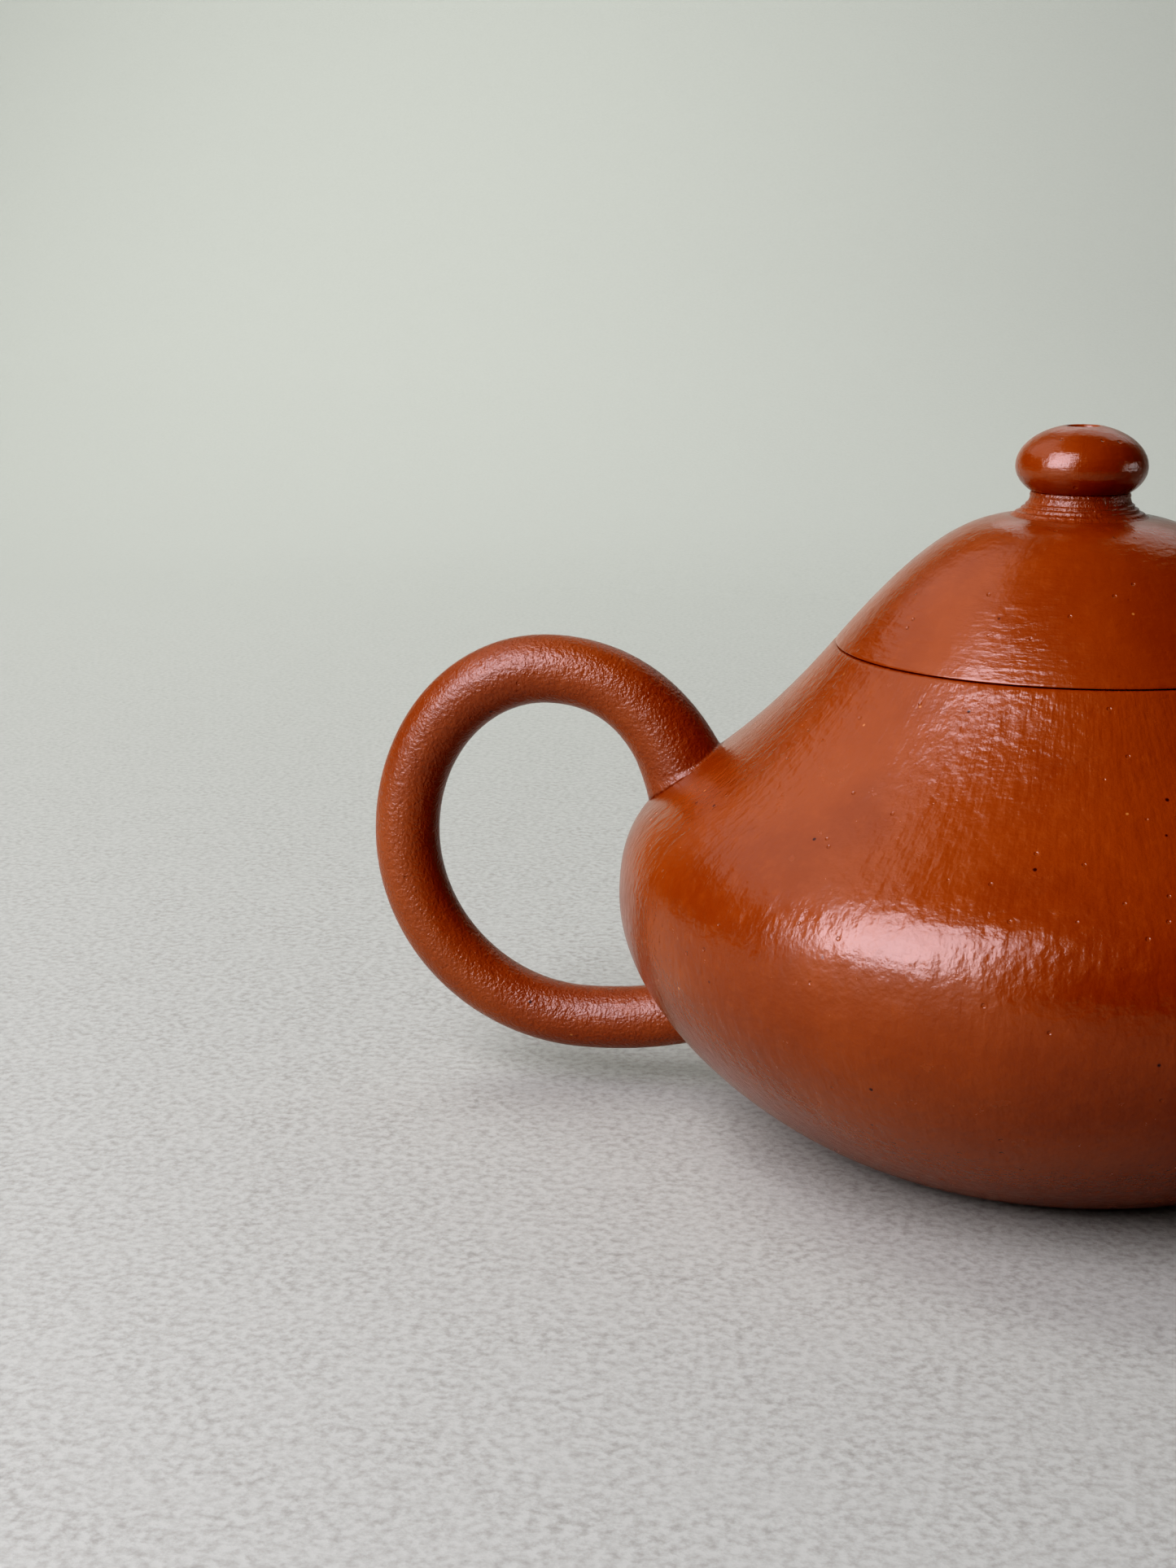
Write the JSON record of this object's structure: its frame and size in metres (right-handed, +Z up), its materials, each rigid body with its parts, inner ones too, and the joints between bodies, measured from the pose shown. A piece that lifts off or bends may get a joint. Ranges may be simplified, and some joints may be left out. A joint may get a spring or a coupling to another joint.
{
  "type": "yixing clay teapot",
  "caption": "Small unglazed red clay teapot of low pear shape, with a ring handle, a tapered spout with a strainer, and a domed lift-off lid with a vented knob.",
  "frame": {"origin": "on the axis of the body and the lid, in the plane of the flat ring that the pot stands on", "axes": "+Z up along the axis of the body; +X towards the spout; -X towards the handle"},
  "size_m": [0.1211, 0.078, 0.0621],
  "materials": {
    "fired_clay": "unglazed and burnished, with a satin sheen"
  },
  "bodies": {
    "pot": {"body_wall": "fired_clay", "base_disc": "fired_clay", "mouth_ring": "fired_clay", "handle": "fired_clay", "spout": "fired_clay", "spout_strainer": "fired_clay"},
    "lid_flange": {"lid_flange": "fired_clay"},
    "lid_top": {"lid_seat_ring": "fired_clay", "lid_dome": "fired_clay", "knob_collar": "fired_clay", "knob": "fired_clay"}
  },
  "joints": [
    {"name": "lid_lift", "type": "slide", "parent": "pot", "child": "lid_flange", "axis": [0, 0, 1], "range_m": [0, 0.04]},
    {"name": "lid_turn", "type": "hinge", "parent": "lid_flange", "child": "lid_top", "pos_m": [0, 0, 0.0432], "axis": [0, 0, 1], "continuous": true}
  ]
}
